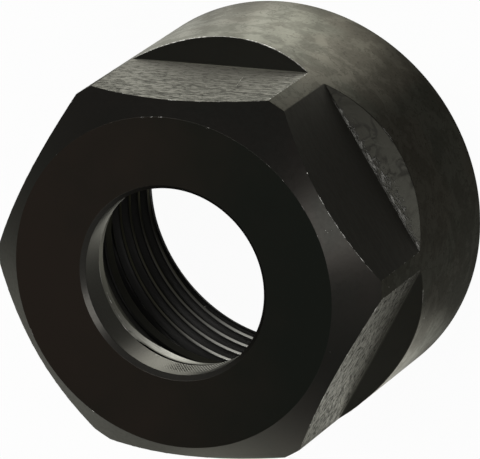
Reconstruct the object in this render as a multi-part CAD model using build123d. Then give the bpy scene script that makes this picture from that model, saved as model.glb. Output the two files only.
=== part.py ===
from build123d import *
import os
from math import cos, radians, sin, tan

# A hexagon collet nut, turned and milled from one bar of steel.
# It screws over the nose of a tool holder, and a cone inside its mouth presses a spring collet shut.
# Millimetres. The origin is the centre of the threaded end face, and +Z runs along the axis
# to the front face, where the tool comes out of the mouth. One pair of flats faces +Y and -Y.

# Outside
body_diameter = 28.0
body_length = 19.7
across_flats = 24.87
hexagon_length = 9.1
shoulder_angle = 45.0
shoulder_root_radius = 0.45
front_face_diameter = 23.0
front_chamfer_angle = 45.0
rear_edge_break = 0.1

# Mouth, from the front face inwards
mouth_diameter = 13.0
mouth_edge_break = 0.3
mouth_depth = 2.4
lead_length = 1.4
lead_angle = 12.0

# Seat of the collet: a cone that closes the collet, then a short straight pocket for its head
cone_half_angle = 30.0
pocket_diameter = 17.6
pocket_length = 0.55

# Extraction ring: a thin ring bored off centre, so that it reaches inwards on one side only.
# It hooks into the groove of the collet and draws it out when the nut is unscrewed.
ring_diameter = 16.6
ring_offset = 0.36
ring_direction = 210.0
ring_thickness = 1.1
ring_edge_break = 0.1

# Thread at the open end: metric fine, right hand, cut after the relief groove behind it
thread_diameter = 22.0
thread_pitch = 1.5
thread_start_depth = 12.2
thread_entry_diameter = 21.7
relief_diameter = 22.4
relief_side_angle = 60.0

# Worked out from the sizes above
body_radius = body_diameter / 2
flat_distance = across_flats / 2
hexagon_sides = 6
front_face_radius = front_face_diameter / 2
front_chamfer_depth = (body_radius - front_face_radius) * tan(radians(front_chamfer_angle))
shoulder_run = (body_radius - flat_distance) / tan(radians(shoulder_angle))

mouth_radius = mouth_diameter / 2
lead_depth = mouth_depth + lead_length
lead_radius = mouth_radius + lead_length * tan(radians(lead_angle))
pocket_radius = pocket_diameter / 2
cone_depth = lead_depth + (pocket_radius - lead_radius) / tan(radians(cone_half_angle))
ring_depth = cone_depth + pocket_length
relief_depth = ring_depth + ring_thickness
relief_radius = relief_diameter / 2

# A metric internal thread is 5/8 of its sharp height deep, and its crests lie at the minor diameter
thread_depth = 5 / 8 * thread_pitch * sin(radians(60))
thread_major_radius = thread_diameter / 2
thread_minor_radius = thread_major_radius - thread_depth
relief_ramp = (relief_radius - thread_minor_radius) / tan(radians(relief_side_angle))
thread_entry_chamfer = thread_entry_diameter / 2 - thread_minor_radius
thread_end_depth = body_length - thread_entry_chamfer


def height(depth):
    """Turns a depth below the front face into a height above the threaded end face."""
    return body_length - depth


def turned_solid(points):
    """Turns a closed outline of (radius, height) points about the axis."""
    outline = Plane.XZ * make_face(Polyline(*points, close=True))
    return revolve(outline, Axis.Z)


def turned_body():
    """The blank as it leaves the lathe: collar, front chamfer and the broken rear edge."""
    return turned_solid([
        (0, 0),
        (body_radius - rear_edge_break, 0),
        (body_radius, rear_edge_break),
        (body_radius, height(front_chamfer_depth)),
        (front_face_radius, height(0)),
        (0, height(0)),
    ])


def flat_cutter(angle):
    """What the milling cutter takes off one flat, with its slanted shoulder and rounded root."""
    beyond = body_radius
    root = (flat_distance, height(hexagon_length))
    slope_x = beyond
    slope_z = slope_x / tan(radians(shoulder_angle))
    outline = Polyline(
        root,
        (flat_distance + slope_x, height(hexagon_length) - slope_z),
        (flat_distance + slope_x, height(0) + beyond),
        (flat_distance, height(0) + beyond),
        close=True,
    )
    face = make_face(outline)
    corner = face.vertices().sort_by_distance((*root, 0))[0]
    face = fillet(corner, shoulder_root_radius)
    cutter = extrude(Plane.XZ * face, amount=body_diameter, both=True)
    return Rot(Z=angle) * cutter


def bore():
    """All that is turned out of the inside and is round about the nut's own axis."""
    beyond = mouth_edge_break
    return turned_solid([
        (0, height(0) + beyond),
        (mouth_radius + mouth_edge_break + beyond, height(0) + beyond),
        (mouth_radius, height(mouth_edge_break)),
        (mouth_radius, height(mouth_depth)),
        (lead_radius, height(lead_depth)),
        (pocket_radius, height(cone_depth)),
        (pocket_radius, height(ring_depth)),
        (0, height(ring_depth)),
    ])


def thread_bore():
    """The open end: relief groove, the bore at the thread's crests, and the lead-in chamfer."""
    beyond = thread_entry_chamfer
    return turned_solid([
        (0, height(relief_depth)),
        (relief_radius, height(relief_depth)),
        (relief_radius, height(thread_start_depth) + relief_ramp),
        (thread_minor_radius, height(thread_start_depth)),
        (thread_minor_radius, height(thread_end_depth)),
        (thread_minor_radius + 2 * beyond, -beyond),
        (0, -beyond),
    ])


def extraction_bore():
    """The off-centre bore that leaves the extraction ring standing on one side, edges broken."""
    ring_radius = ring_diameter / 2
    flare = ring_radius + ring_edge_break
    cutter = turned_solid([
        (0, height(ring_depth)),
        (flare, height(ring_depth)),
        (ring_radius, height(ring_depth + ring_edge_break)),
        (ring_radius, height(relief_depth - ring_edge_break)),
        (flare, height(relief_depth)),
        (0, height(relief_depth)),
    ])
    shift_x = ring_offset * cos(radians(ring_direction))
    shift_y = ring_offset * sin(radians(ring_direction))
    return Pos(shift_x, shift_y, 0) * cutter


def collet_nut():
    """The whole nut: a turned blank with six milled flats, bored through from both ends."""
    nut = turned_body()
    for side in range(hexagon_sides):
        angle = 30 + side * 360 / hexagon_sides
        nut -= flat_cutter(angle)
    nut -= bore()
    nut -= extraction_bore()
    nut -= thread_bore()
    return nut


os.makedirs("parts", exist_ok=True)
export_step(collet_nut(), "parts/collet_nut.step")

print(f"front chamfer {front_chamfer_depth:.2f} deep, shoulder run {shoulder_run:.2f}")
print(f"cone ends {cone_depth:.2f}, ring {ring_depth:.2f} to {relief_depth:.2f} below the front face")
print(f"thread crests at radius {thread_minor_radius:.3f}, to {thread_end_depth:.2f} deep")
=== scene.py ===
# %% [markdown]
# # Collet nut
#
# A small steel nut that pulls a spring collet into a tool holder. One piece of
# steel: a turned body, a hexagon milled on its front part, a stepped bore and
# an inside thread. It is blackened in a hot salt bath, which leaves a thin
# black oxide that still shows every tool mark.
#
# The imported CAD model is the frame. This script dresses it: it draws the nut
# once more as one fine mesh with its real thread, and gives each machined
# surface its own finish.

# %% Load the frame
import math

import bmesh
import bpy
import numpy as np
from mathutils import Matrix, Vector, noise


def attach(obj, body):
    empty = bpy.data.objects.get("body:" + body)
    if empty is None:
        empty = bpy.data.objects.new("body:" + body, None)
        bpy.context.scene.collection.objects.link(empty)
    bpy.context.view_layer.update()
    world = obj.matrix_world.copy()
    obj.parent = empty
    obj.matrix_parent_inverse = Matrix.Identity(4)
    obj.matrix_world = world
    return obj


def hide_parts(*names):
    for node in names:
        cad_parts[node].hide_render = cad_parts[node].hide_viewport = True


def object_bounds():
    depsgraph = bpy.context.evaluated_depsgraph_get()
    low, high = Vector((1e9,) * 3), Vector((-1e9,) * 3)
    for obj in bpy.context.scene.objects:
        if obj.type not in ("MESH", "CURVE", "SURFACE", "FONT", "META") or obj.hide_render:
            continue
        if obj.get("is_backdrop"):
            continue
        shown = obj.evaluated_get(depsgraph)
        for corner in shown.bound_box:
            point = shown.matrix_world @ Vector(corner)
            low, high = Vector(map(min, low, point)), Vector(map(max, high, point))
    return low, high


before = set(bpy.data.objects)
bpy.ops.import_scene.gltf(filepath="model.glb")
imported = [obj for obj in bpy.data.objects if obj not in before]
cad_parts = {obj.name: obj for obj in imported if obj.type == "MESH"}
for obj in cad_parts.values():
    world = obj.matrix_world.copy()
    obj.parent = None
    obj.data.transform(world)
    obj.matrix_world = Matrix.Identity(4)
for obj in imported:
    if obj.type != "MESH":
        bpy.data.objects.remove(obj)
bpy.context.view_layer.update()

# %% [markdown]
# ## The camera
#
# The photograph was taken from far away with a long lens: the front face and
# the collar's far rim are nearly the same scale. A camera could be placed by
# eye and nudged, or found from known points. Here the corners and circles of
# the nut were matched to the picture, which gives a place, three turns and a
# lens that all sit on the real sizes of the nut.

# %% Camera
LENS = 526.18
SENSOR = 36.0
CAMERA_PLACE = (0.190995, 0.143963, 0.418107)
CAMERA_TURNS = (-18.8417, 24.1401, -2.902)


def put_in_scene(name, data):
    """A new object made from a mesh, a lamp or a camera."""
    made = bpy.data.objects.new(name, data)
    bpy.context.scene.collection.objects.link(made)
    return made


camera_data = bpy.data.cameras.new("camera")
camera_data.lens = LENS
camera_data.sensor_width = SENSOR
camera_data.sensor_fit = "HORIZONTAL"
camera_data.clip_start = 0.01
camera_data.clip_end = 10.0
camera = put_in_scene("camera", camera_data)
camera.location = CAMERA_PLACE
camera.rotation_euler = [math.radians(v) for v in CAMERA_TURNS]
bpy.context.scene.camera = camera
print("Camera stands", round(camera.location.length, 3), "m from the nut")

# %% [markdown]
# ## Node helpers
#
# Floor, cards and steel are all made from nodes. A few small helpers keep the
# later cells short: they start a material, add a node with its settings, work
# out sums and products, and make a soft step between two values.

# %% Start a material and add nodes


def new_material(name):
    """An empty node material, with its output node."""
    material = bpy.data.materials.new(name)
    material.use_nodes = True
    material.node_tree.nodes.clear()
    output = material.node_tree.nodes.new("ShaderNodeOutputMaterial")
    return material, material.node_tree, output


def add(tree, kind, inputs=None, **settings):
    """One node of a tree. An input gets a number or another node's socket."""
    made = tree.nodes.new("ShaderNode" + kind)
    for key, value in settings.items():
        setattr(made, key, value)
    for key, value in (inputs or {}).items():
        if isinstance(value, bpy.types.NodeSocket):
            tree.links.new(value, made.inputs[key])
        else:
            made.inputs[key].default_value = value
    return made


# %% Sums, products and soft steps


def maths(tree, operation, first, second=0.0):
    """The result of one sum or other operation."""
    return add(tree, "Math", {0: first, 1: second}, operation=operation).outputs[0]


def times(tree, product, *others):
    """The product of several values."""
    for other in others:
        product = maths(tree, "MULTIPLY", product, other)
    return product


def soft_step(tree, value, start, end, low=0.0, high=1.0):
    """A value that goes smoothly from low to high between start and end."""
    ends = {"From Min": start, "From Max": end, "To Min": low, "To Max": high}
    node = add(tree, "MapRange", {"Value": value, **ends}, interpolation_type="SMOOTHSTEP")
    return node.outputs["Result"]


# %% [markdown]
# ## The floor
#
# The picture's background is plain white. A floor could be lit until it is
# white, but then the nut would be lit too hard. So the floor is a pale sheet
# that adds its own even white for what the camera, metal and glass see, and
# keeps a part of its real shading, which holds the nut's soft shadow. It lies
# a hair below the rear face, as two faces at one level would flicker, and is
# clear for a camera below it, so that the rear of the nut can be looked at.

# %% Floor
FLOOR_HALF = 1.5
FLOOR_LEVEL = -0.00002
FLOOR_OWN_SHADING = 0.04
PALE_SHEET = (0.86, 0.86, 0.85, 1)
WHITE = (1, 1, 1, 1)
floor_mesh = bpy.data.meshes.new("floor")
corners = [
    (x * FLOOR_HALF, y * FLOOR_HALF, FLOOR_LEVEL) for x, y in ((-1, -1), (1, -1), (1, 1), (-1, 1))
]
floor_mesh.from_pydata(corners, [], [(0, 1, 2, 3)])
floor = put_in_scene("floor", floor_mesh)
floor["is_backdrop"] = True
print("Floor is", 2 * FLOOR_HALF, "m wide")

# %% Floor material
pale, tree, output = new_material("pale_sheet")
sheet = add(tree, "BsdfDiffuse", {"Color": PALE_SHEET, "Roughness": 0.5})
white = add(tree, "Emission", {"Color": WHITE, "Strength": 1.0})
ray = add(tree, "LightPath")
seen = maths(tree, "MAXIMUM", ray.outputs["Is Camera Ray"], ray.outputs["Is Glossy Ray"])
seen = maths(tree, "MAXIMUM", seen, ray.outputs["Is Transmission Ray"])
share = times(tree, seen, 1 - FLOOR_OWN_SHADING)
blend = add(tree, "MixShader", {0: share, 1: sheet.outputs[0], 2: white.outputs[0]})
below = add(tree, "NewGeometry").outputs["Backfacing"]
below = times(tree, below, ray.outputs["Is Camera Ray"])
clear = add(tree, "BsdfTransparent", {"Color": WHITE})
blend = add(tree, "MixShader", {0: below, 1: blend.outputs[0], 2: clear.outputs[0]})
tree.links.new(blend.outputs[0], output.inputs["Surface"])
floor.data.materials.append(pale)
print("Floor material has", len(tree.nodes), "nodes")

# %% [markdown]
# ## Cards round the nut
#
# Black steel has almost no colour of its own. What the eye sees on it is the
# room: the photograph shows a dark studio, one bright sheet behind the nut and
# a dimmer one in front. In a studio, black and white cards lie beside the nut
# and are cut out of the picture afterwards. Here a shallow tray round the nut
# stands for them. Only reflections see it, so the floor stays white.

# %% Tray of cards
TRAY_OUTSIDE = 0.25
TRAY_HEIGHT = 0.09
TRAY_LIFT = 0.00003
TRAY_STEPS = 96
tray_points = []
for height in (TRAY_LIFT, TRAY_HEIGHT):
    for i in range(TRAY_STEPS):
        turn = 2 * math.pi * i / TRAY_STEPS
        tray_points.append((TRAY_OUTSIDE * math.cos(turn), TRAY_OUTSIDE * math.sin(turn), height))
tray_faces = [tuple(range(TRAY_STEPS))]
for i in range(TRAY_STEPS):
    j = (i + 1) % TRAY_STEPS
    tray_faces.append((i, j, TRAY_STEPS + j, TRAY_STEPS + i))
tray_mesh = bpy.data.meshes.new("card_tray")
tray_mesh.from_pydata(tray_points, [], tray_faces)
tray = put_in_scene("card_tray", tray_mesh)
tray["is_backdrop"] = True
tray.visible_camera = False
tray.visible_diffuse = False
tray.visible_transmission = False
tray.visible_shadow = False
print("Tray is", 2 * TRAY_OUTSIDE, "m wide")

# %% Pools of light on the cards
DARK_CARD = 0.158
CARD_TINT = (1, 1, 0.97, 1)
WALL_PLACE = (250, 0, 45)
WALL_HALF_SIZES = (120, 220, 250)
WALL_GLOW = 0.444
POOL_CORE = 0.3
POOL_HALF_HEIGHT = 1000
# Pools by their half sizes outward and across in mm. Each one's angle round the nut, its
# distance from the axis in mm, and its level.
POOLS = {
    (5.5, 4.2): [
        (-66, 18.8, 0.92), (-54, 18.8, 0.95), (-42, 18.3, 0.52), (54, 17.5, 0.33),
        (66, 17.5, 1.19), (78, 17.5, 1.60), (90, 17.5, 1.90), (102, 17.5, 1.09),
        (114, 17.5, 0.74), (126, 17.5, 0.80), (138, 17.5, 0.40),
    ],
    (9.0, 9.0): [(-60, 27.0, 1.14), (-40, 27.0, 0.49), (100, 27.0, 2.65), (120, 27.0, 2.35)],
    (22.0, 24.0): [(-150, 50.0, 0.22), (-120, 50.0, 0.21), (-90, 50.0, 3.37)],
    (14.0, 12.0): [(-116, 57.0, 0.16)],
    (55.0, 60.0): [(-72, 110.0, 1.51)],
    (3.6, 3.6): [(138, 6.7, 3.22), (173, 8.6, 1.40), (-133, 10.3, 0.17), (103, 6.7, 1.26)],
    (3.2, 3.2): [(-145, 7.9, 1.50)],
    (3.5, 3.5): [(-120, 8.1, 0.45)],
}
cards, tree, output = new_material("studio_cards")
place = add(tree, "NewGeometry").outputs["Position"]


def pool_of_light(centre, half_sizes, turn, strength):
    """A soft round or oval patch of light, in mm and degrees."""
    where = {
        "Vector": place,
        "Location": tuple(v / 1000 for v in centre),
        "Rotation": (0, 0, math.radians(turn)),
        "Scale": tuple(v / 1000 for v in half_sizes),
    }
    inside = add(tree, "Mapping", where, vector_type="TEXTURE")
    away = add(tree, "VectorMath", {0: inside.outputs[0]}, operation="LENGTH")
    return soft_step(tree, away.outputs["Value"], POOL_CORE, 1.0, strength, 0.0)


level = pool_of_light(WALL_PLACE, WALL_HALF_SIZES, 0, WALL_GLOW)
for half_sizes, pools in POOLS.items():
    for angle, distance, strength in pools:
        turn = math.radians(angle)
        centre = (distance * math.cos(turn), distance * math.sin(turn), 0)
        pool = pool_of_light(centre, (*half_sizes, POOL_HALF_HEIGHT), angle, strength)
        level = maths(tree, "ADD", level, pool)
level = maths(tree, "ADD", level, DARK_CARD)
glow = add(tree, "Emission", {"Color": CARD_TINT, "Strength": level})
tree.links.new(glow.outputs[0], output.inputs["Surface"])
tray.data.materials.append(cards)
print("Cards with", sum(len(pools) for pools in POOLS.values()), "pools of light")

# %% [markdown]
# ## Studio light
#
# One big lamp would do for a matt thing, but on black steel each lamp is seen
# as a gleam, so their places matter more than their strength. The room is dim
# and even. Two soft square lamps stand high behind the nut, one in front and
# one low on the right, which is the grey gleam on the bevel. Together they
# light a matt surface to about its own colour. Only the camera sees the room
# as white.

# %% World
ROOM_LEVEL = 0.167
ROOM_TINT = (1, 1, 0.98, 1)
HORIZON = (0.05, 0.16)
world = bpy.data.worlds.new("studio")
bpy.context.scene.world = world
world.use_nodes = True
tree = world.node_tree
tree.nodes.clear()
output = add(tree, "OutputWorld")
way = add(tree, "TexCoord").outputs["Generated"]
height = add(tree, "SeparateXYZ", {0: way}).outputs["Z"]
horizon = soft_step(tree, height, *HORIZON, 1.0, ROOM_LEVEL)
horizon = maths(tree, "MAXIMUM", horizon, add(tree, "LightPath").outputs["Is Camera Ray"])
room = add(tree, "Background", {"Color": ROOM_TINT, "Strength": horizon})
tree.links.new(room.outputs[0], output.inputs["Surface"])
print("Room level is", ROOM_LEVEL)

# %% Soft lamps
LAMP_DISTANCE = 0.6
LAMP_SIDE = 0.30
LAMP_AIM = 0.01
# Each lamp: its name, angle round the nut, angle above the floor, and level.
LAMPS = [
    ("key_lamp", 135, 56, 3.62),
    ("top_lamp", 100, 72, 2.24),
    ("front_lamp", -87, 41, 1.75),
    ("right_softbox", 14, 31, 1.52),
]


def soft_lamp(name, azimuth, elevation, level):
    """A square lamp that faces the nut. Its level is the brightness it shows."""
    data = bpy.data.lights.new(name, "AREA")
    data.shape = "RECTANGLE"
    data.size = data.size_y = LAMP_SIDE
    data.energy = level * math.pi * LAMP_SIDE * LAMP_SIDE
    turn, rise = math.radians(azimuth), math.radians(elevation)
    flat_way = Vector((math.cos(turn), math.sin(turn), 0)) * math.cos(rise)
    side = flat_way + Vector((0, 0, math.sin(rise)))
    lamp = put_in_scene(name, data)
    lamp.location = side * LAMP_DISTANCE + Vector((0, 0, LAMP_AIM))
    lamp.rotation_euler = side.to_track_quat("Z", "Y").to_euler()
    lamp.visible_camera = False


for lamp_line in LAMPS:
    soft_lamp(*lamp_line)

# %% [markdown]
# ## The nut's sizes
#
# A turner thinks of the nut as a profile swung round its axis, and the miller
# then cuts six flats into it. The sizes are those of the CAD part, in
# millimetres, with depth counted from the front face.

# %% Sizes
MM = 0.001
body_radius = 14.0
body_length = 19.7
face_radius = 11.5
flat_distance = 12.435
flat_length = 9.1
root_radius = 0.2
rear_break = 0.1
entry_radius = 10.85
mouth_radius = 6.5
mouth_break = 0.3
mouth_depth = 2.4
lead_least_depth = 3.5
lead_most_depth = 4.35
lead_slope = math.tan(math.radians(12))
pocket_radius = 8.8
pocket_depth = 7.82
pocket_length = 0.55
ring_radius = 8.3
ring_offset = 0.36
ring_turn = math.radians(210)
ring_thickness = 1.1
ring_break = 0.1
relief_radius = 11.2
relief_end = 11.616
thread_top = 12.2
thread_major = 11.0
pitch = 1.5
thread_height = 0.625 * pitch * math.sqrt(3) / 2
thread_minor = thread_major - thread_height
half_flat = math.sqrt(body_radius**2 - flat_distance**2)
print("Flats are", round(2 * half_flat, 2), "mm wide")
print("Thread crests stand at radius", round(thread_minor, 3), "mm")

# %% [markdown]
# ## Columns round the nut
#
# The mesh is a net of columns and rows, like the staves and hoops of a barrel.
# Each column is one full loop of the profile: out over the front face, down
# the outside, in across the rear and up through the bore. Columns stand at
# even steps along each flat, so that a flat's own edges fall on columns, and
# a pair of close columns at each edge keeps it crisp.

# %% Columns
EDGE = 0.05
STRIP_EDGE = 0.004
FLAT_STEPS = 44
STRIP_STEPS = 4


def spread(count, total, margin=EDGE):
    """Places from 0 to total: even steps, and one close to each end."""
    inner = np.linspace(0, 1, count + 1)
    total = np.atleast_1d(total).astype(float)[:, None]
    near = np.minimum(margin, 0.2 * total)
    middle = near + (total - 2 * near) * inner[None, :]
    return np.concatenate([0 * near, middle, total], axis=1)


half_turn = math.atan2(half_flat, flat_distance)
across = spread(FLAT_STEPS, 2 * half_flat)[0] - half_flat
strip = spread(STRIP_STEPS, math.pi / 3 - 2 * half_turn, STRIP_EDGE)[0][1:-1] + half_turn
flat_turn, collar_turn, low_radius, normal_turn, on_strip = [], [], [], [], []
for k in range(6):
    middle = math.radians(30 + 60 * k)
    for s in across:
        flat_turn.append(middle + math.atan2(s, flat_distance))
        collar_turn.append(middle + math.asin(s / body_radius))
        low_radius.append(math.hypot(s, flat_distance))
        normal_turn.append(middle)
        on_strip.append(False)
    for turn in strip:
        for turns in (flat_turn, collar_turn, normal_turn):
            turns.append(middle + turn)
        low_radius.append(body_radius)
        on_strip.append(True)
for values in (flat_turn, collar_turn, low_radius, normal_turn, on_strip):
    values.append(values[0])
flat_turn, collar_turn, normal_turn = (np.array(v) for v in (flat_turn, collar_turn, normal_turn))
for turns in (flat_turn, collar_turn, normal_turn):
    turns[-1] += 2 * math.pi
low_radius = np.minimum(low_radius, body_radius)
on_strip = np.array(on_strip)
columns = len(flat_turn)
print(columns - 1, "columns")

# %% [markdown]
# ## Outside rows
#
# From the mouth outward: the flat front face, the 45 degree bevel, which ends
# in a curve on each flat because the flat cuts a cone, the flat itself, the
# small round left by the cutter's corner, the 45 degree shoulder, the collar,
# a broken edge and the rear face.

# %% Rows of the front
FINE_EDGE = 0.006
BEVEL_EDGE = 0.008
rows = []
zones = []


def together(*values):
    """Numbers side by side in one table. A single number stands for all."""
    return np.stack(np.broadcast_arrays(*values), axis=-1)


def add_row(zone, turn, radius, depth):
    """One row of points round the nut, as angle, radius and depth."""
    rows.append(together(turn, radius, depth))
    zones.append(zone)


def cone_rows(zone, turn, start, end, count, margin=EDGE):
    """Rows along a straight run of the profile, from (radius, depth) to (radius, depth)."""
    r0, d0, r1, d1 = np.broadcast_arrays(*start, *end, turn)[:4]
    length = np.hypot(r1 - r0, d1 - d0)
    part = spread(count, length, margin) / np.maximum(length, 1e-9)[:, None]
    for step in part.T:
        add_row(zone, turn, r0 + (r1 - r0) * step, d0 + (d1 - d0) * step)


mouth_edge = mouth_radius + mouth_break
bevel_depth = low_radius - face_radius
root_start = flat_length - root_radius * math.tan(math.radians(22.5))
cone_rows("face", flat_turn, (mouth_edge, 0), (face_radius, 0), 8, FINE_EDGE)
cone_rows("bevel", flat_turn, (face_radius, 0), (low_radius, bevel_depth), 7, BEVEL_EDGE)
cone_rows("flat", flat_turn, (low_radius, bevel_depth), (low_radius, root_start), 16)
print(len(rows), "rows down to the root of the flats")

# %% Rows of the shoulder
SHOULDER_STEPS = 14
SHOULDER_EDGE = 0.03
CLOSER_AT_ROOT = 1.3
flat_places = np.append(np.tile(np.append(across, 0 * strip), 6), across[0])
collar_reach = np.where(on_strip, flat_distance, np.sqrt(body_radius**2 - flat_places**2))
rise = collar_reach - flat_distance
steps_out = spread(SHOULDER_STEPS, 1.0, SHOULDER_EDGE)[0] ** CLOSER_AT_ROOT
for step in steps_out:
    out = rise * step
    on_round = out < root_radius * (1 - math.cos(math.radians(45)))
    swing = np.arccos(np.clip(1 - out / root_radius, -1, 1))
    depth = np.where(on_round, root_start + root_radius * np.sin(swing), flat_length + out)
    x, y = flat_distance + out, flat_places
    radius = np.where(on_strip, body_radius, np.hypot(x, y))
    turn = np.where(on_strip, flat_turn, normal_turn + np.arctan2(y, x))
    add_row("shoulder", turn, radius, depth)
shoulder_end = rows[-1][:, 2]
print("Shoulders end", shoulder_end.max().round(2), "mm below the front at most")

# %% Rows of the collar and the rear face
BREAK_EDGE = 0.02
collar_end = body_length - rear_break
rear_radius = body_radius - rear_break
cone_rows("collar", collar_turn, (body_radius, shoulder_end), (body_radius, collar_end), 16)
cone_rows(
    "collar", collar_turn, (body_radius, collar_end), (rear_radius, body_length), 1, BREAK_EDGE
)
for part in spread(5, 1.0, BREAK_EDGE)[0]:
    radius = rear_radius + (entry_radius - rear_radius) * part
    add_row("rear", collar_turn + (flat_turn - collar_turn) * part, radius, body_length)
print(len(rows), "rows outside")

# %% [markdown]
# ## The thread
#
# A spiral can't follow level hoops, so here each row climbs one pitch in one
# turn, as the cutter did. The radius only depends on how far the point is
# from the nearest crest: a narrow flat crest, a 60 degree flank and a flat
# root. Rows that would leave the thread are held at its ends, where they
# fall together and are welded.

# %% Shape of the thread
CREST_HEIGHT = 2.312
CREST_ROUND_FROM = 0.10
CREST_ROUND = 0.02
crest_half = pitch / 8
root_half = pitch / 16
flank = pitch / 2 - crest_half - root_half
thread_high = body_length - relief_end


def rising(value, start, length):
    """0 before a start, then a straight rise to 1 over a length."""
    return np.clip((value - start) / length, 0, 1)


def from_crest(height):
    """How far a height is from the nearest crest of the thread."""
    return np.abs((height - CREST_HEIGHT + pitch / 2) % pitch - pitch / 2)


def thread_radius(height, turn):
    """Radius of the inside thread at a height and an angle, with its two ends."""
    away = from_crest(height - pitch * turn / (2 * math.pi))
    radius = thread_minor + thread_height * rising(away, crest_half, flank)
    worn = CREST_ROUND * rising(away, CREST_ROUND_FROM, crest_half - CREST_ROUND_FROM) ** 2
    radius = np.maximum(radius, thread_minor + worn)
    rear = entry_radius - height
    top = thread_minor + (height - (body_length - thread_top)) * math.tan(math.radians(60))
    return np.maximum(radius, np.maximum(rear, top))


print("Thread is", round(thread_height, 3), "mm deep")

# %% Rows of the thread
half_steps = [0.0, 0.10, 0.155, crest_half, 0.22, 0.34, 0.50]
half_steps += [pitch / 2 - root_half - 0.03, pitch / 2 - root_half]
turn_steps = half_steps + [pitch / 2] + [pitch - v for v in reversed(half_steps[1:])]
thread_turns = range(-3, int(thread_high / pitch) + 2)
heights = [CREST_HEIGHT + pitch * k + step for k in thread_turns for step in turn_steps]
for height in heights:
    z = np.clip(height + pitch * flat_turn / (2 * math.pi), 0, thread_high)
    add_row("thread", flat_turn, thread_radius(z, flat_turn), body_length - z)
print(len(heights), "rows on the thread")

# %% [markdown]
# ## Inside rows
#
# Above the thread lie a groove where the threading tool ran out, the thin ring
# that pulls the collet out of its seat, whose hole is bored off centre, and
# the cone that presses on the collet. Then come the lead, which collets have
# worn deeper on one side, the short straight mouth and its broken edge.

# %% Rows of the bore
WORN_SIDE, WORN_SPREAD = 250, 22


def hump(value, middle, width):
    """1 at a middle, and smoothly down to 0 on both sides of it."""
    return np.exp(-(((value - middle) / width) ** 2))


bore_angle = np.degrees(flat_turn) % 360
worn_more = (lead_most_depth - lead_least_depth) * hump(bore_angle, WORN_SIDE, WORN_SPREAD)
lead_depth = lead_least_depth + worn_more
lead_radius = mouth_radius + (lead_depth - mouth_depth) * lead_slope
ring_turns = flat_turn - ring_turn
ring_hole = ring_offset * np.cos(ring_turns)
ring_hole = ring_hole + np.sqrt(ring_radius**2 - (ring_offset * np.sin(ring_turns)) ** 2)
ring_rear = pocket_depth + ring_thickness
# Each run goes on from the one before, to a radius and a depth, in a number of rows.
BORE_RUNS = [
    ("groove", relief_radius, ring_rear, 5, EDGE),
    ("groove", ring_hole + ring_break, ring_rear, 4, EDGE),
    ("ring", ring_hole, ring_rear - ring_break, 1, BREAK_EDGE),
    ("ring", ring_hole, pocket_depth + ring_break, 3, EDGE),
    ("ring", ring_hole + ring_break, pocket_depth, 1, BREAK_EDGE),
    ("ring", pocket_radius, pocket_depth, 2, BREAK_EDGE),
    ("cone", pocket_radius, pocket_depth - pocket_length, 2, EDGE),
    ("cone", lead_radius, lead_depth, 8, EDGE),
    ("lead", mouth_radius, mouth_depth, 16, EDGE),
    ("mouth", mouth_radius, mouth_break, 8, EDGE),
    ("mouth", mouth_edge, 0, 3, FINE_EDGE),
]
here = (relief_radius, relief_end)
for zone, radius, depth, count, margin in BORE_RUNS:
    cone_rows(zone, flat_turn, here, (radius, depth), count, margin)
    here = (radius, depth)
print(len(rows), "rows in all")

# %% [markdown]
# ## Where the steel is worn or torn, and where light or shade is painted
#
# Collets rub the lead bright on one side, and the cutter tore the steel at the root of the
# shoulders, worst on the side at 30 degrees. The corner between mouth and lead is painted dark, a
# painted shade, and the thread's crests are painted bright on the lit side of the bore, a painted
# highlight. These could be drawn by hand; here every row carries a number for each, and the
# finishes read it.

# %% Wear, painted shade and painted highlight, row by row
RUBBED_SIDE, RUBBED_SPREAD, RUBBED_LEAST = 252, 26, 0.16
# Over this width and between these angles, the corner between mouth and lead is painted dark, a
# painted shade.
SHADED_CORNER_WIDTH = 0.42
CORNER_SHADE_FROM, CORNER_SHADE_TO = 228, 292
# Thread crests are painted bright only from about 248 to 345 degrees round the bore, where light
# falls on them: a painted highlight.
SHINE_FROM, SHINE_TO, SHINE_SPREAD = 248, 345, 5.2
FLANK_SHINE = 0.028
wear_and_painted_light = np.zeros((len(rows), columns))
is_zone = {zone: [i for i, z in enumerate(zones) if z == zone] for zone in dict.fromkeys(zones)}
rubbed_bright = RUBBED_LEAST + (1 - RUBBED_LEAST) * hump(bore_angle, RUBBED_SIDE, RUBBED_SPREAD)
# Painted shade in the corner between mouth and lead.
painted_corner_shade = rising(bore_angle, CORNER_SHADE_FROM, 10) * rising(bore_angle, CORNER_SHADE_TO, -8)
# The lead is worn bright on one side, and the painted shade darkens it near the mouth.
for row in is_zone["lead"]:
    from_mouth = rows[row][:, 2] - mouth_depth
    wear_and_painted_light[row] = rubbed_bright * (1 - painted_corner_shade * (1 - rising(from_mouth, 0.32, 0.5)))
# Painted highlight on the crests, on the lit side of the bore only.
crest_painted_highlight = 1 / (1 + np.exp(-(bore_angle - SHINE_FROM) / SHINE_SPREAD)) * (bore_angle < SHINE_TO)
for row, height in zip(is_zone["thread"], heights):
    wear_and_painted_light[row] = crest_painted_highlight if from_crest(height) < crest_half + 0.01 else FLANK_SHINE
print("Most rubbed", wear_and_painted_light.max().round(2))

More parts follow.
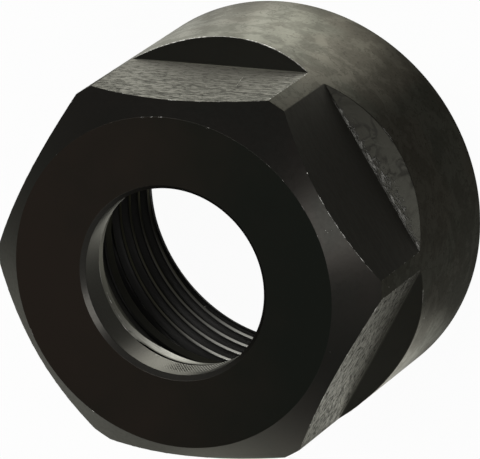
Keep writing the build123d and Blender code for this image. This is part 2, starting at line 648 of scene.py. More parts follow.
# %% Torn, row by row
# How badly each side's root is torn, counted from the side at 30 degrees.
TORN_SIDES = np.array([1.0, 0.0, 0.35, 0.2, 0.3, 0.0])
torn = np.zeros((len(rows), columns))
side = np.append(np.repeat(np.arange(6), (columns - 1) // 6), 0)
torn_width = 0.33 + 0.67 * hump(flat_places, -2.0, 2.6)
torn_width = torn_width * np.maximum(rising(flat_places, 5.4, -1.2), 0.01)
for row, step in zip(is_zone["shoulder"], steps_out):
    up_the_slope = rise * step * math.sqrt(2)
    near_root = np.clip(1 - up_the_slope / torn_width, 0, 1)
    torn[row] = np.where(on_strip, 0, TORN_SIDES[side] * near_root)
print("Most torn", torn.max().round(2))

# %% [markdown]
# ## Weld the net into one closed mesh
#
# Each four neighbours make a face. Rows and columns that fall on the same
# place are welded, which also closes the seam of the spiral, and the face's
# row says which machined surface it belongs to.

# %% Build the mesh
ZONES = [*is_zone, "corner"]
net = np.stack(rows)
net_turn, net_radius, net_depth = net[..., 0], net[..., 1], net[..., 2]
points = together(
    net_radius * np.cos(net_turn), net_radius * np.sin(net_turn), body_length - net_depth
)
index = np.arange(len(rows) * columns).reshape(len(rows), columns)
faces, face_zone = [], []
for j, zone in enumerate(zones[1:]):
    for i in range(columns - 1):
        faces.append((index[j, i], index[j, i + 1], index[j + 1, i + 1], index[j + 1, i]))
        turned = zone in ("flat", "shoulder") and (on_strip[i] or on_strip[i + 1])
        # Lead faces close to the mouth on the shaded side get the corner's painted shade.
        in_corner_shade = zone == "lead" and net_depth[j, i] - mouth_depth < SHADED_CORNER_WIDTH * painted_corner_shade[i]
        face_zone.append(ZONES.index("collar" if turned else "corner" if in_corner_shade else zone))
nut_mesh = bpy.data.meshes.new("collet_nut_dressed")
nut_mesh.from_pydata((points.reshape(-1, 3) * MM).tolist(), [], faces)
nut_mesh.polygons.foreach_set("material_index", face_zone)
print(len(faces), "faces before the weld")

# %% Weld it
WELD = 0.0006


def keep_on_points(name, values, kind="FLOAT", field="value"):
    """Writes one number or place on each point of the mesh, for the finishes."""
    kept = nut_mesh.attributes.new(name, kind, "POINT")
    kept.data.foreach_set(field, values.reshape(-1).astype(np.float32))


keep_on_points("wear_and_painted_light", wear_and_painted_light)
keep_on_points("torn", torn)
net_mesh = bmesh.new()
net_mesh.from_mesh(nut_mesh)
bmesh.ops.remove_doubles(net_mesh, verts=net_mesh.verts, dist=WELD * MM)
bmesh.ops.recalc_face_normals(net_mesh, faces=net_mesh.faces)
open_edges = sum(not e.is_manifold for e in net_mesh.edges)
volume = net_mesh.calc_volume(signed=True)
if volume < 0:
    bmesh.ops.reverse_faces(net_mesh, faces=net_mesh.faces)
net_mesh.to_mesh(nut_mesh)
net_mesh.free()
nut_mesh.polygons.foreach_set("use_smooth", [True] * len(nut_mesh.polygons))
print(len(nut_mesh.polygons), "faces,", open_edges, "open edges")
print("Steel fills", round(abs(volume) * 1e9), "cubic mm")

# %% [markdown]
# ## Which way the cutter went
#
# Milled marks run along each flat, whichever way it faces. So every point
# keeps its place on its own side: how far along the flat, how deep below the
# front face, and the number of the side, so that no two sides match.

# %% Places along each side
SIDE_SHIFT = 7.3
place = np.empty(len(nut_mesh.vertices) * 3)
nut_mesh.vertices.foreach_get("co", place)
x, y, z = (place.reshape(-1, 3) / MM).T
side_number = np.floor(np.degrees(np.arctan2(y, x)) % 360 / 60) % 6
side_index = side_number.astype(int)
facing = np.radians(30 + 60 * side_number)
along = y * np.cos(facing) - x * np.sin(facing)
depth_below = body_length - z
tool_path = together(along, depth_below, SIDE_SHIFT * side_number)
keep_on_points("tool_path", tool_path, "FLOAT_VECTOR", "vector")
print("Sides:", np.unique(side_index))

# %% How each side came out
# How rough each flat and each shoulder is, how much each flat is painted lighter near its root, a
# painted reflection, and how pale it is near one end.
FLAT_TEXTURE = np.array([0.03, 1.0, 0.7, 0.8, 0.7, 1.6])
SHOULDER_TEXTURE = np.array([1.0, 0.15, 0.6, 0.5, 0.6, 0.3])
PAINTED_ROOT_SHEEN = np.array([0.45, 1.0, 0.1, 0.1, 0.1, 0.0])
PALE_END = np.array([0.0, 0.35, 0.0, 0.2, 0.0, 0.9])
on_flat = depth_below < flat_length - 0.05
texture = np.where(on_flat, FLAT_TEXTURE[side_index], SHOULDER_TEXTURE[side_index])
near_root = rising(depth_below, 3.8, 5.2)
near_end = rising(along, -0.5, 6.0) * np.clip(1.3 - depth_below / 10, 0, 1)
# Near its root a flat is painted lighter, a painted reflection. Near one end it is paler.
pale = near_root**2 * (3 - 2 * near_root) * PAINTED_ROOT_SHEEN[side_index] + near_end * PALE_END[side_index]
keep_on_points("texture", texture)
keep_on_points("pale", pale)
print("Roughest flat faces", 30 + 60 * FLAT_TEXTURE.argmax(), "degrees")

# %% Place the nut
nut = put_in_scene("collet_nut_dressed", nut_mesh)
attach(nut, "root")
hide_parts("collet_nut")
print("Nut has", len(nut_mesh.vertices), "points")

# %% [markdown]
# ## Finishes
#
# Black oxide is a skin a thousandth of a millimetre thick. It reflects about a twentieth of the
# light straight on and much more at a glancing angle, like dark glass, and the steel's roughness
# below it blurs that reflection. In the bore a lower edge tint dims the glancing reflections, a
# painted shade that darkens the deep bore.

# %% What a finish reads


def in_mm(tree):
    """The place on the nut in millimetres."""
    spot = add(tree, "TexCoord").outputs["Object"]
    node = add(tree, "VectorMath", {0: spot, "Scale": 1000.0}, operation="SCALE")
    return node.outputs["Vector"]


def mark(tree, name):
    """A number or place kept on the points of the mesh."""
    node = add(tree, "Attribute", attribute_name=name)
    return node.outputs["Vector" if name == "tool_path" else "Fac"]


def part_of(tree, spot, axis):
    """One of the three numbers of a place."""
    return add(tree, "SeparateXYZ", {0: spot}).outputs[axis]


def grain(tree, spot, size, detail=3.0, rough=0.55, twist=0.0, seed=0.0):
    """Noise with grains of a given size in mm, about 0.5 on average."""
    size = (size, size, size) if isinstance(size, (int, float)) else size
    shift = (seed, 1.7 * seed, 0.6 * seed)
    where = {"Vector": spot, "Location": shift, "Scale": tuple(1 / v for v in size)}
    kind = {"Scale": 1.0, "Detail": detail, "Roughness": rough, "Distortion": twist}
    mapped = add(tree, "Mapping", where).outputs[0]
    return add(tree, "TexNoise", {"Vector": mapped, **kind}).outputs["Fac"]


def from_middle(tree, value):
    """How far a value is from a half. In noise, 0 makes thin crooked lines."""
    return maths(tree, "ABSOLUTE", maths(tree, "SUBTRACT", value, 0.5))


# %% What a finish is made from
EDGE_TINT = (1.0, 1.0, 0.93)
skins = {}


def weighed(tree, *parts):
    """The sum of several values, each times its weight."""
    total = None
    for value, weight in parts:
        part = times(tree, value, weight)
        total = part if total is None else maths(tree, "ADD", total, part)
    return total


def blend_colour(tree, share, *colours):
    """A colour between two others, each a socket, or red, green and blue."""
    first, second = (c if isinstance(c, bpy.types.NodeSocket) else (*c, 1) for c in colours)
    return add(tree, "Mix", {0: share, 6: first, 7: second}, data_type="RGBA").outputs[2]


def relief(tree, height, depth, below=None):
    """A relief of a given depth in mm, on top of another if one is given."""
    inputs = {"Height": height, "Distance": depth * MM, "Strength": 1.0}
    if below is not None:
        inputs["Normal"] = below
    return add(tree, "Bump", inputs).outputs["Normal"]


def finish(name, build, slanted=1.0):
    """A steel finish. Build gives its colour, roughness and relief, and slanted, below 1,
    dims what it reflects at a slant."""
    material, tree, output = new_material(name)
    colour, roughness, normal = build(tree)
    edge = (*(slanted * v for v in EDGE_TINT), 1)
    look = {"Base Color": colour, "Specular Tint": edge, "Roughness": roughness, "Normal": normal}
    steel = add(tree, "BsdfPrincipled", {"Metallic": 1.0, **look})
    tree.links.new(steel.outputs[0], output.inputs["Surface"])
    print("Finish", name, "has", len(tree.nodes), "nodes")
    return material


# %% [markdown]
# ## Turned and blackened collar
#
# The bath leaves the collar mottled: patches of a paler, olive bloom between
# darker, browner ones, with small pits and crooked stains. The patches are
# noise with a soft threshold, which changes tone and gloss together, so they
# show where the collar mirrors a bright card and sink where it is dark.

# %% Collar finish


def collar_finish(tree):
    spot = in_mm(tree)
    clouds = grain(tree, spot, (2.1, 2.1, 1.5), detail=5.0, rough=0.6, twist=0.6, seed=1.0)
    bloom = soft_step(tree, clouds, 0.45, 0.55)
    fine = grain(tree, spot, 0.24, seed=5.0)
    pits = soft_step(tree, grain(tree, spot, 0.30, detail=2.0, seed=9.0), 0.62, 0.68)
    crooked = from_middle(tree, grain(tree, spot, 1.1, seed=21.0))
    stains = times(tree, soft_step(tree, crooked, 0.006, 0.022, 1.0, 0.0), bloom)
    tone = weighed(tree, (bloom, 0.42), (fine, 0.70), (pits, -0.35), (stains, -0.5))
    drift = soft_step(tree, grain(tree, spot, 5.0, detail=2.0, seed=31.0), 0.40, 0.60)
    darker = blend_colour(tree, drift, (0.035, 0.029, 0.021), (0.032, 0.030, 0.022))
    paler = blend_colour(tree, drift, (0.075, 0.068, 0.053), (0.071, 0.070, 0.055))
    colour = blend_colour(tree, tone, darker, paler)
    roughness = soft_step(tree, tone, 0.0, 0.9, 0.45, 0.35)
    lines = grain(tree, spot, (30.0, 30.0, 0.16), detail=2.0, seed=8.0)
    normal = relief(tree, lines, 0.0002)
    normal = relief(tree, fine, 0.002, normal)
    normal = relief(tree, weighed(tree, (clouds, 1.0), (pits, -0.2)), 0.008, normal)
    return colour, roughness, normal


skins["collar"] = finish("oxide_collar", collar_finish)

# %% [markdown]
# ## Milled flats
#
# A flat is cut by a mill that runs along it, so its marks are long thin
# flecks with a torn grain between them. Noise stretched along the flat gives
# the flecks their relief, and the low places are duller, as oxide stays there.
# The most torn flat also has small dark holes and bare glints in its grain.

# %% Flat finish


def flat_finish(tree):
    spot, texture = mark(tree, "tool_path"), mark(tree, "texture")
    along = part_of(tree, spot, "X")
    torn_end = soft_step(tree, along, -2.5, 2.5)
    torn_part = maths(tree, "MAXIMUM", torn_end, soft_step(tree, texture, 1.1, 1.4))
    straight_part = maths(tree, "SUBTRACT", 1.0, torn_part)
    torn_flecks = grain(tree, spot, (0.95, 0.34, 1.0), rough=0.6, twist=0.5, seed=2.0)
    straight_flecks = grain(tree, spot, (2.2, 0.24, 1.0), rough=0.6, seed=3.0)
    flecks = weighed(tree, (torn_flecks, torn_part), (straight_flecks, straight_part))
    grit = grain(tree, spot, (0.42, 0.20, 1.0), detail=2.0, rough=0.6, seed=4.0)
    height = weighed(tree, (flecks, 0.6), (grit, 0.4))
    tone = soft_step(tree, height, 0.455, 0.55, -0.5, 0.5)
    tone = maths(tree, "ADD", times(tree, tone, texture), 0.5)
    colour = blend_colour(tree, tone, (0.023, 0.0212, 0.0187), (0.079, 0.0752, 0.0665))
    # Lighter near the root, a painted reflection, and paler near one end.
    colour = blend_colour(tree, mark(tree, "pale"), colour, (0.085, 0.081, 0.072))
    very_torn = soft_step(tree, texture, 1.1, 1.4, 0.35, 1.0)
    dents = grain(tree, spot, (0.50, 0.27, 1.0), detail=2.0, rough=0.5, twist=0.4, seed=41.0)
    holes = times(tree, soft_step(tree, dents, 0.55, 0.62), very_torn)
    holes = times(tree, holes, maths(tree, "MINIMUM", texture, 1.0))
    bare = grain(tree, spot, (0.34, 0.22, 1.0), detail=2.0, rough=0.5, seed=43.0)
    glints = times(tree, soft_step(tree, bare, 0.60, 0.67), very_torn, texture, torn_part)
    colour = blend_colour(tree, times(tree, holes, 0.5), colour, (0.008, 0.0075, 0.007))
    colour = blend_colour(tree, times(tree, glints, 0.6), colour, (0.16, 0.155, 0.14))
    dull = soft_step(tree, height, 0.40, 0.60, 0.50, 0.38)
    roughness = weighed(tree, (dull, 1.0), (holes, 0.35))
    height = weighed(tree, (height, texture), (holes, -0.8), (glints, 0.4))
    return colour, roughness, relief(tree, height, 0.05)


skins["flat"] = finish("oxide_flat", flat_finish)

# %% [markdown]
# ## Shoulders
#
# The cutter's corner leaves the slanted shoulder rougher, with crooked dark
# lines like burr wood. They are the places where a noise crosses its middle
# value. Close to the root, where the steel was torn, the oxide did not hold,
# and smears along the root are paler.

# %% Shoulder finish


def shoulder_finish(tree):
    spot, texture, torn = (mark(tree, name) for name in ("tool_path", "texture", "torn"))
    waves = grain(tree, spot, (1.5, 0.9, 1.0), rough=0.5, twist=1.2, seed=6.0)
    breaks = soft_step(tree, grain(tree, spot, 1.8, detail=2.0, seed=36.0), 0.42, 0.58)
    burl = soft_step(tree, from_middle(tree, waves), 0.0, 0.10, 1.0, 0.0)
    burl = times(tree, burl, breaks, texture)
    smear = grain(tree, spot, (0.60, 0.13, 1.0), twist=0.6, seed=27.0)
    crumbled = soft_step(tree, weighed(tree, (torn, 0.36), (smear, 1.5)), 0.86, 1.16)
    crumbled = times(tree, crumbled, soft_step(tree, torn, 0.0, 0.12))
    bloom = soft_step(tree, part_of(tree, spot, "X"), -5.5, 5.5, 0.5, -0.5)
    bloom = maths(tree, "ADD", times(tree, bloom, texture), 0.5)
    colour = blend_colour(tree, bloom, (0.036, 0.035, 0.029), (0.058, 0.057, 0.048))
    colour = blend_colour(tree, times(tree, burl, 0.85), colour, (0.024, 0.023, 0.020))
    colour = blend_colour(tree, crumbled, colour, (0.16, 0.157, 0.146))
    normal = relief(tree, times(tree, waves, texture), 0.02)
    normal = relief(tree, times(tree, smear, crumbled), 0.035, normal)
    return colour, 0.33, normal


skins["shoulder"] = finish("oxide_shoulder", shoulder_finish)

# %% [markdown]
# ## Faces and bevels
#
# The front face and the bevel are finely turned and the darkest of all. Their
# black drifts between brown on one side and green on the other, as oxide
# does with the heat of the bath.

# %% Face and bevel finishes


def face_finish(tree):
    spot = in_mm(tree)
    cloud = grain(tree, spot, 7.0, seed=11.0)
    drift = weighed(tree, (part_of(tree, spot, "X"), -0.05), (cloud, 1.2))
    drift = soft_step(tree, drift, 0.0, 1.2)
    colour = blend_colour(tree, drift, (0.030, 0.034, 0.028), (0.060, 0.047, 0.038))
    return colour, 0.30, relief(tree, grain(tree, spot, 0.3, seed=12.0), 0.0015)


def bevel_finish(tree):
    spot = in_mm(tree)
    drift = soft_step(tree, grain(tree, spot, 4.0, seed=13.0), 0.35, 0.65)
    colour = blend_colour(tree, drift, (0.054, 0.050, 0.045), (0.049, 0.048, 0.043))
    fine = grain(tree, spot, 0.25, seed=14.0)
    roughness = soft_step(tree, fine, 0.3, 0.7, 0.34, 0.28)
    return colour, roughness, relief(tree, fine, 0.002)


skins["face"] = finish("oxide_face", face_finish)
skins["bevel"] = finish("oxide_bevel", bevel_finish)

# %% [markdown]
# ## The mouth
#
# The mouth was bored with a tool that chattered and left a fine crossed weave
# in patches near the lead. The weave is two waves, one slanted and one that
# only runs round the bore, and it fades out towards the front and sideways.

# %% Mouth finish
CHATTER_MARKS = 200
CHATTER_STEP = 0.28
CHATTER_MIDDLE = -1.47


def mouth_finish(tree):
    spot = in_mm(tree)
    height = part_of(tree, spot, "Z")
    angle = maths(tree, "ARCTAN2", part_of(tree, spot, "Y"), part_of(tree, spot, "X"))
    round_it = times(tree, angle, CHATTER_MARKS)
    along_it = times(tree, height, 2 * math.pi / CHATTER_STEP)
    one_way = maths(tree, "SINE", maths(tree, "SUBTRACT", round_it, along_it))
    other_way = maths(tree, "SINE", round_it)
    aside = maths(tree, "ABSOLUTE", maths(tree, "SUBTRACT", angle, CHATTER_MIDDLE))
    chattered = soft_step(tree, aside, 0.18, 0.38, 1.0, 0.03)
    deep = soft_step(tree, height, 18.3, 19.1, 1.0, 0.0)
    patches = grain(tree, spot, 0.9, detail=2.0, seed=51.0)
    patches = soft_step(tree, patches, 0.40, 0.56, 0.35, 1.0)
    weave = weighed(tree, (one_way, 1.0), (other_way, 0.5))
    weave = times(tree, weave, chattered, deep, patches)
    fine = grain(tree, spot, 0.15, seed=15.0)
    tone = maths(tree, "ADD", weighed(tree, (fine, 0.3), (weave, 0.6)), 0.35)
    colour = blend_colour(tree, tone, (0.024, 0.023, 0.021), (0.160, 0.153, 0.138))
    return colour, 0.29, relief(tree, fine, 0.002, relief(tree, weave, 0.007))


skins["mouth"] = finish("oxide_mouth", mouth_finish)

# %% [markdown]
# ## Lead, and the painted shade in its corner
#
# The lead behind the mouth is worn bright on one side, where the collet rides, but on that side the
# corner between the two is painted dark, a painted shade. How bright it is was worked out row by
# row above; here streaks round the bore break it up.

# %% Lead finish, and the corner's painted shade


def lead_finish(tree):
    streak = grain(tree, in_mm(tree), (0.7, 0.7, 0.2), seed=16.0)
    # Worn bright on one side. Near the mouth, the corner's painted shade darkens it.
    bare = times(tree, mark(tree, "wear_and_painted_light"), soft_step(tree, streak, 0.2, 0.6, 0.7, 1.0))
    colour = blend_colour(tree, bare, (0.030, 0.028, 0.025), (0.97, 0.96, 0.90))
    return colour, 0.33, relief(tree, streak, 0.006)


def shaded_corner_finish(tree):
    # Near black: the corner's painted shade.
    corner_shade_grain = grain(tree, in_mm(tree), 0.2, seed=23.0)
    colour = blend_colour(tree, corner_shade_grain, (0.010, 0.0095, 0.009), (0.022, 0.021, 0.020))
    return colour, 0.5, relief(tree, corner_shade_grain, 0.01)


skins["lead"] = finish("oxide_lead", lead_finish, 0.35)
# The corner's painted shade also has the lowest edge tint.
skins["corner"] = finish("painted_shade_corner", shaded_corner_finish, 0.2)

# %% [markdown]
# ## Thread and dark bore
#
# The thread's crests are painted bright on the side of the bore where light falls on them, a
# painted highlight. The groove, the ring and the cone are painted darker, a painted shade deep in
# the bore, the ring most of all.

# %% Thread, groove, ring and cone finishes
# The bore's painted shade: a lower edge tint for the thread, groove, ring and cone, and a darker
# colour for the ring.
BORE_SHADE_SLANT = 0.45
RING_PAINTED_SHADE = 0.65


def thread_finish(tree):
    fine = grain(tree, in_mm(tree), 0.2, seed=17.0)
    # Crests are painted bright where the painted highlight is set, flanks stay dark.
    colour = blend_colour(tree, mark(tree, "wear_and_painted_light"), (0.018, 0.0175, 0.017), (0.84, 0.83, 0.79))
    return colour, 0.34, relief(tree, fine, 0.003)


def inner_finish(tree, darker=1.0):
    fine = grain(tree, in_mm(tree), (0.5, 0.5, 0.15), seed=18.0)
    # Darker scales the colour down, which gives the ring its painted shade.
    low, high = (darker * np.array(v) for v in ((0.036, 0.0355, 0.034), (0.060, 0.059, 0.056)))
    return blend_colour(tree, fine, low, high), 0.55, relief(tree, fine, 0.004)


def ring_finish(tree):
    return inner_finish(tree, RING_PAINTED_SHADE)


skins["thread"] = finish("oxide_thread", thread_finish, BORE_SHADE_SLANT)
skins["groove"] = finish("oxide_groove", inner_finish, BORE_SHADE_SLANT)
skins["ring"] = finish("oxide_ring", ring_finish, BORE_SHADE_SLANT)
skins["cone"] = finish("oxide_cone", inner_finish, BORE_SHADE_SLANT)

# %% [markdown]
# ## Rear face
#
# The rear face is faced off on the lathe: fine rings round the thread, seen
# only from below. The rings come from the distance to the axis.

# %% Rear finish


def rear_finish(tree):
    level_spot = add(tree, "VectorMath", {0: in_mm(tree), 1: (1, 1, 0)}, operation="MULTIPLY")
    away = add(tree, "VectorMath", {0: level_spot.outputs["Vector"]}, operation="LENGTH")
    ring_spot = add(tree, "CombineXYZ", {0: away.outputs["Value"]}).outputs[0]
    lines = grain(tree, ring_spot, (0.12, 1.0, 1.0), detail=2.0, seed=19.0)
    colour = blend_colour(tree, lines, (0.036, 0.034, 0.031), (0.058, 0.055, 0.050))
    return colour, 0.36, relief(tree, lines, 0.004)


skins["rear"] = finish("oxide_rear", rear_finish)

# %% Give each surface its finish
for zone in ZONES:
    nut_mesh.materials.append(skins[zone])
print("Finishes:", [m.name for m in nut_mesh.materials])

# %% [markdown]
# ## Burrs on the edges
#
# Where the mill broke out through the collar it pushed up a hair-thin burr,
# and knocks and rubbing laid bare short lengths of other edges. They are only
# a few hundredths of a millimetre, but they are the brightest things on the
# nut. Each is a thin closed bead that follows its edge and tapers at both
# ends, with its thickness and its line made uneven by noise.

# %% Places on the edges
# A burr stands mostly along one of the two surfaces at its edge, and leans a little.
MOST, LITTLE = 0.92, 0.38


def on_side(facing, along, distance):
    """Points on a side of the hexagon: its facing in degrees, and places in mm."""
    turn = math.radians(facing)
    x = distance * math.cos(turn) - along * math.sin(turn)
    y = distance * math.sin(turn) + along * math.cos(turn)
    return x, y


def shoulder_edge(facing, along):
    """Where the shoulder meets the collar, and the way that a burr stands up."""
    reach = np.sqrt(body_radius**2 - along**2)
    x, y = on_side(facing, along, reach)
    points = together(x, y, body_length - flat_length - (reach - flat_distance))
    return points, together(MOST * x / body_radius, MOST * y / body_radius, LITTLE)


def bevel_edge(facing, along):
    """Where the bevel meets a flat."""
    x, y = on_side(facing, along, flat_distance)
    turn = math.radians(facing)
    points = together(x, y, body_length - (np.hypot(x, y) - face_radius))
    return points, (MOST * math.cos(turn), MOST * math.sin(turn), LITTLE)


def corner_edge(facing, depth, way):
    """Where a flat meets the narrow strip of turned steel beside it."""
    x, y = on_side(facing, way * half_flat, flat_distance)
    return together(x, y, body_length - depth), (x / body_radius, y / body_radius, 0)


def circle_edge(radius, depth, angle, outward):
    """An edge on a circle round the axis; outward is 1, or -1 towards the axis."""
    x, y = np.cos(np.radians(angle)), np.sin(np.radians(angle))
    lean = LITTLE * outward
    return together(radius * x, radius * y, body_length - depth), together(lean * x, lean * y, MOST)


print("Shoulders rise to", round(body_length - flat_length, 2), "mm above the rear face")

# %% Beads
BEAD_SECTION = 6
END_TAPER = 0.04
THINNEST = 0.12
bead_points, bead_faces = [], []


def bead(points, up, thickness, seed, uneven=0.55, wander=0.4):
    """Adds one closed bead along an edge. Thickness is its radius in mm."""
    count, start = len(points), len(bead_points)
    up = np.broadcast_to(up, points.shape)
    for i in range(count):
        ahead = Vector(points[min(i + 1, count - 1)] - points[max(i - 1, 0)]).normalized()
        across_way = ahead.cross(Vector(up[i])).normalized()
        rise_way = across_way.cross(ahead).normalized()
        spot = Vector(points[i])
        ripple = noise.noise(spot * 7.0 + Vector((seed, 0, 0)))
        inside = 0 < i < count - 1
        taper = math.sin(math.pi * i / (count - 1)) ** 0.35 if inside else END_TAPER
        size = thickness * taper * max(THINNEST, 1 + 2.2 * uneven * ripple)
        drift = thickness * wander * noise.noise(spot * 5.0 + Vector((0, seed, 9)))
        centre = spot + across_way * drift
        for k in range(BEAD_SECTION):
            turn = 2 * math.pi * k / BEAD_SECTION
            way = across_way * math.cos(turn) + rise_way * math.sin(turn)
            bead_points.append(centre + way * size)
    for i in range(count - 1):
        ring = start + i * BEAD_SECTION
        for k in range(BEAD_SECTION):
            a, b = ring + k, ring + (k + 1) % BEAD_SECTION
            bead_faces.append((a, b, b + BEAD_SECTION, a + BEAD_SECTION))
    last = start + (count - 1) * BEAD_SECTION
    bead_faces.append(tuple(start + k for k in reversed(range(BEAD_SECTION))))
    bead_faces.append(tuple(last + k for k in range(BEAD_SECTION)))


def along_line(low, high, step=0.05):
    """Places along an edge, close enough for a smooth bead."""
    return np.linspace(low, high, max(5, int(abs(high - low) / step)))


# %% Broken burrs


def dashes(low, high, share, seed, shortest, longest):
    """Short lengths between two places, with gaps, the same each time."""
    pick = np.random.default_rng(seed)
    place, found = low, []
    while place < high:
        length = pick.uniform(shortest, longest)
        found.append((place, min(place + length, high)))
        place += length + pick.uniform(0.5, 1.5) * length * (1 - share) / share
    return found


def broken_burr(lengths, thickness, seed, edge, facing, *way):
    """A burr that comes and goes along an edge: one bead for each length."""
    for low, high in lengths:
        bead(*edge(facing, along_line(low, high), *way), thickness, seed + low)


# %% Burrs of the shoulders
SIDE_HALF = 6.0
for low, high, thickness in ((-1.3, 6.35, 0.030), (-6.3, -1.1, 0.040)):
    bead(*shoulder_edge(90, along_line(low, high)), thickness, 1.0, uneven=0.12, wander=0.05)
bead(*shoulder_edge(30, along_line(0.8, 2.0)), 0.009, 2.0)
for facing, share, seed in ((150, 0.6, 5), (210, 0.75, 6), (270, 0.5, 7), (330, 0.15, 8)):
    lengths = dashes(-SIDE_HALF, SIDE_HALF, share, seed, 0.4, 2.4)
    broken_burr(lengths, 0.016, seed, shoulder_edge, facing)
print(len(bead_points), "points in the shoulders' burrs")

# %% Knocks on the bevels and corners
CORNER_START, CORNER_END = 2.7, 8.9
# Each side: its facing, the share of its edge that is bare, and a seed.
BEVEL_KNOCKS = ((90, 0.2, 12), (150, 0.3, 13), (210, 0.45, 14), (270, 0.4, 15), (330, 0.2, 16))
# Each corner: the facing of its side, the end of the side, and a seed.
CORNER_KNOCKS = (
    (30, -1, 18), (150, 1, 19), (150, -1, 20), (210, 1, 21), (270, -1, 22), (330, 1, 23),
)
lengths = dashes(-5.6, 0.8, 0.85, 11, 0.5, 1.6) + [(2.1, 2.3)]
broken_burr(lengths, 0.018, 11, bevel_edge, 30)
for facing, share, seed in BEVEL_KNOCKS:
    lengths = dashes(-SIDE_HALF, SIDE_HALF, share, seed, 0.1, 0.7)
    broken_burr(lengths, 0.011, seed, bevel_edge, facing)
lengths = dashes(CORNER_START, CORNER_END, 0.5, 17, 0.08, 0.4)
broken_burr(lengths, 0.020, 17, corner_edge, 90, -1)
for facing, way, seed in CORNER_KNOCKS:
    lengths = dashes(CORNER_START, CORNER_END, 0.25, seed, 0.08, 0.5)
    broken_burr(lengths, 0.014, seed, corner_edge, facing, way)
print(len(bead_points), "points with the bevels and corners")

# %% Worn lengths of the circles
FACE_WEAR = (
    (73.4, 74.4), (90.5, 92.2), (94, 95), (97, 98.6), (49, 51),
    (42.6, 43.4), (31, 33), (21, 22), (201, 204), (236, 237),
)
corner_radius = mouth_radius + SHADED_CORNER_WIDTH * lead_slope
# Each circle: radius, depth, way of its burr, points, thickness, lengths in degrees.
WORN_CIRCLES = (
    (face_radius, 0.0, 1, 9, 0.014, FACE_WEAR),
    (corner_radius, mouth_depth + SHADED_CORNER_WIDTH, -1, 30, 0.022, ((198, 209), (210, 219))),
    (mouth_radius, mouth_depth, -1, 40, 0.016, ((178, 196), (219, 225))),
    (mouth_radius, mouth_depth - 0.12, -1, 40, 0.010, ((243, 252), (253, 261), (262, 271))),
)
for radius, depth, way, count, thickness, lengths in WORN_CIRCLES:
    for low, high in lengths:
        bead(*circle_edge(radius, depth, np.linspace(low, high, count), way), thickness, low)
print(len(bead_points), "points with the circles")

# %% A loose loop in the mouth and a scratch on the upper flat
LOOP_STEPS = 14
SCRATCH_STEPS = 30
SCRATCH_TOP, SCRATCH_END = 4.95, 7.25
below_corner = np.linspace(0.0, 0.6, LOOP_STEPS) + 0.12 * np.sin(np.linspace(0, 7, LOOP_STEPS))
loop_radius = mouth_radius + below_corner * lead_slope
loop_angle = np.linspace(222, 226.5, LOOP_STEPS)
bead(*circle_edge(loop_radius, mouth_depth + below_corner, loop_angle, -1), 0.028, 44.0)
scratch_depth = np.linspace(SCRATCH_TOP, SCRATCH_END, SCRATCH_STEPS)
scratch_x, scratch_y = on_side(90, -3.04 + 0.215 * (scratch_depth - SCRATCH_TOP), flat_distance)
bead(together(scratch_x, scratch_y, body_length - scratch_depth), (0, 1, 0), 0.005, 40.0)
print(len(bead_points), "points in the burrs")

# %% [markdown]
# ## Crumbs of torn steel
#
# On one side the cutter tore the root of the shoulder and smeared the crumbs
# along it. Each crumb is a small ball, squeezed and dented by noise, pressed
# half into the shoulder. A few lone ones lie where the nut was knocked.

# %% One crumb
DENT = 0.75
SQUEEZE = 0.7
crumb_ball = bmesh.new()
bmesh.ops.create_icosphere(crumb_ball, subdivisions=1, radius=1.0)
ball_points = [v.co.copy() for v in crumb_ball.verts]
ball_faces = [tuple(v.index for v in f.verts) for f in crumb_ball.faces]
crumb_ball.free()
pick = np.random.default_rng(30)


def crumb(spot, up, way, size, stretch=1.6):
    """One dented lump on a surface. Up is the surface's normal, way its long direction."""
    start = len(bead_points)
    spot, up, way = Vector(spot), Vector(up).normalized(), Vector(way).normalized()
    across_way = up.cross(way).normalized()
    seed = Vector(pick.uniform(-50, 50, 3))
    for ball in ball_points:
        shape = ball * (1 + DENT * noise.noise(ball * 1.3 + seed)) * size
        lying = way * shape.x * stretch + across_way * shape.y
        bead_points.append(spot + lying + up * shape.z * SQUEEZE)
    bead_faces.extend(tuple(start + i for i in face) for face in ball_faces)


print("A crumb has", len(ball_faces), "faces")

# %% Crumbs on the torn shoulder
turn = math.radians(30)
slope_up = (math.cos(turn) * math.sqrt(0.5), math.sin(turn) * math.sqrt(0.5), math.sqrt(0.5))
slope_way = (-math.sin(turn), math.cos(turn), 0)
first_crumb_face = len(bead_faces)


def root_crumb(along, out, size, stretch):
    """A crumb on the torn shoulder, a distance out from the root."""
    x, y = on_side(30, along, flat_distance + out)
    crumb((x, y, body_length - flat_length - out), slope_up, slope_way, size, stretch)


for _ in range(110):
    along_root = pick.uniform(-5.8, 3.4)
    out = min(0.02 + pick.exponential(0.09), 0.5)
    root_crumb(along_root, out, pick.uniform(0.015, 0.035), pick.uniform(1.5, 4.0))
for along_root in (-1.2, -1.9, -2.1, -2.6, -2.8, -3.0):
    along_root += pick.uniform(-0.1, 0.1)
    root_crumb(along_root, pick.uniform(0.15, 0.4), pick.uniform(0.03, 0.05), 1.8)
for along_root in (3.15, 1.5, -0.15, -3.3):
    root_crumb(along_root, 0.0, 0.055, 1.6)
root_x, root_y = on_side(30, along_line(0.6, 4.7), flat_distance + 0.01)
root_points = together(root_x, root_y, body_length - flat_length)
bead(root_points, slope_up, 0.011, 33.0, uneven=0.9)
smeared_faces = range(first_crumb_face, len(bead_faces))
print(len(smeared_faces), "faces smeared along the root")

# %% Lone specks
UP = Vector((0, 0, 1))
# Each speck on the bevel: angle, radius and size.
BEVEL_SPECKS = (
    (22.2, 11.97, 0.026), (21.2, 12.03, 0.02), (21.3, 12.22, 0.026),
    (341.1, 11.74, 0.02), (134.3, 11.52, 0.02),
)


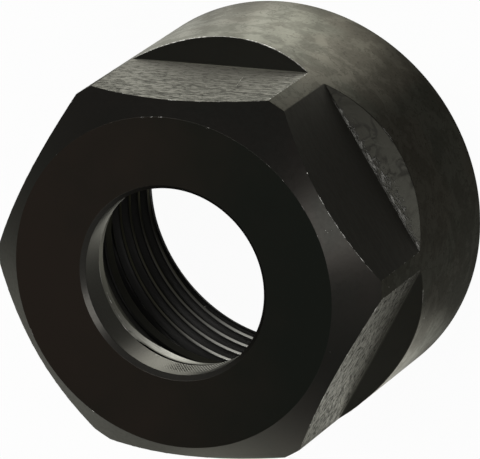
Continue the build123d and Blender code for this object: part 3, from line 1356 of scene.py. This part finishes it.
def out_from_axis(angle):
    """The level way out from the axis at an angle in degrees."""
    turn = math.radians(angle)
    return Vector((math.cos(turn), math.sin(turn), 0))


for angle, radius, size in BEVEL_SPECKS:
    out_way = out_from_axis(angle)
    spot = out_way * radius + UP * (body_length - (radius - face_radius))
    crumb(spot, out_way + UP, UP.cross(out_way), size)
for angle, depth, size in ((-20.1, 11.3, 0.03), (-0.6, 3.75, 0.025)):
    out_way = out_from_axis(angle)
    crumb(out_way * body_radius + UP * (body_length - depth), out_way, UP, size)
out_way = out_from_axis(232)
crumb(out_way * thread_minor + UP * (body_length - 18.11), -out_way, UP, 0.05, 1.2)
print(len(bead_points), "points in burrs and crumbs")

# %% Place the burrs
burr_mesh = bpy.data.meshes.new("edge_burrs")
burr_mesh.from_pydata([tuple(p * MM) for p in bead_points], [], bead_faces)
burr_net = bmesh.new()
burr_net.from_mesh(burr_mesh)
bmesh.ops.recalc_face_normals(burr_net, faces=burr_net.faces)
burr_net.to_mesh(burr_mesh)
burr_net.free()
burr_mesh.polygons.foreach_set("use_smooth", [True] * len(burr_mesh.polygons))
burrs = put_in_scene("edge_burrs", burr_mesh)
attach(burrs, "root")
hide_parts("collet_nut")
print("Burrs have", len(burr_mesh.polygons), "faces")

# %% [markdown]
# ## Bare steel
#
# A burr has lost its oxide, so it is nearly bare steel with duller spots. The
# smeared crumbs lie in soot and stay greyer. Both come from one noise each.

# %% Finishes of the burrs and crumbs


def burr_finish(tree):
    skin = soft_step(tree, grain(tree, in_mm(tree), 0.4, seed=25.0), 0.40, 0.60)
    colour = blend_colour(tree, skin, (0.30, 0.29, 0.27), (0.85, 0.84, 0.80))
    return colour, 0.38, relief(tree, skin, 0.001)


def crumb_finish(tree):
    skin = grain(tree, in_mm(tree), 0.2, seed=26.0)
    colour = blend_colour(tree, skin, (0.07, 0.069, 0.064), (0.28, 0.275, 0.262))
    return colour, 0.42, relief(tree, skin, 0.002)


burr_mesh.materials.append(finish("bare_burrs", burr_finish))
burr_mesh.materials.append(finish("smeared_crumbs", crumb_finish))
for face in smeared_faces:
    burr_mesh.polygons[face].material_index = 1

# %% [markdown]
# ## Last settings
#
# The view transform is the plain one, so a colour shows about as it is written. The box of
# everything visible is printed in millimetres; the fine mesh is meant to stay inside the part that
# it dresses.

# %% Colour management and sizes
bpy.context.scene.view_settings.view_transform = "Standard"
low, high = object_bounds()
print("Visual box in mm:", [round(1000 * v, 2) for v in (*low, *high)])
